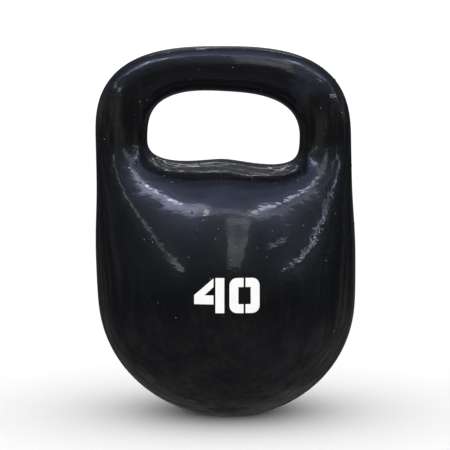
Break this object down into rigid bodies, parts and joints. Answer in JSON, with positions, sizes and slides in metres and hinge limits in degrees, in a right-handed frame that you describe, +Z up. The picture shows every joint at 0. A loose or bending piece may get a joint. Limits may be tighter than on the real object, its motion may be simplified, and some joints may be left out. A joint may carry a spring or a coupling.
{
  "type": "kettlebell",
  "caption": "Cast-iron kettlebell, a ball with an integral loop handle, gloss black coating, stencilled weight number and a plugged trimming cavity in the ground foot.",
  "frame": {"origin": "middle of the foot, on the floor", "axes": "+Z up through the handle, -Y out of the face that carries the number, +X to the right of someone facing the number"},
  "size_m": [0.2164, 0.2134, 0.303],
  "materials": {
    "iron": "bare grey iron, ground flat on the foot",
    "enamel": "thick gloss black coating over a rough casting",
    "lead": null,
    "plug_steel": "turned steel",
    "seal": "red fibre washer",
    "number_paint": "white stencil paint"
  },
  "bodies": {
    "root": {"iron_casting": "iron", "gloss_coating": "enamel", "lead_trim": "lead", "trim_plug": "plug_steel", "plug_seal": "seal", "digit_four_flag": "number_paint", "digit_four_stem": "number_paint", "digit_zero_left": "number_paint", "digit_zero_right": "number_paint"}
  },
  "joints": []
}
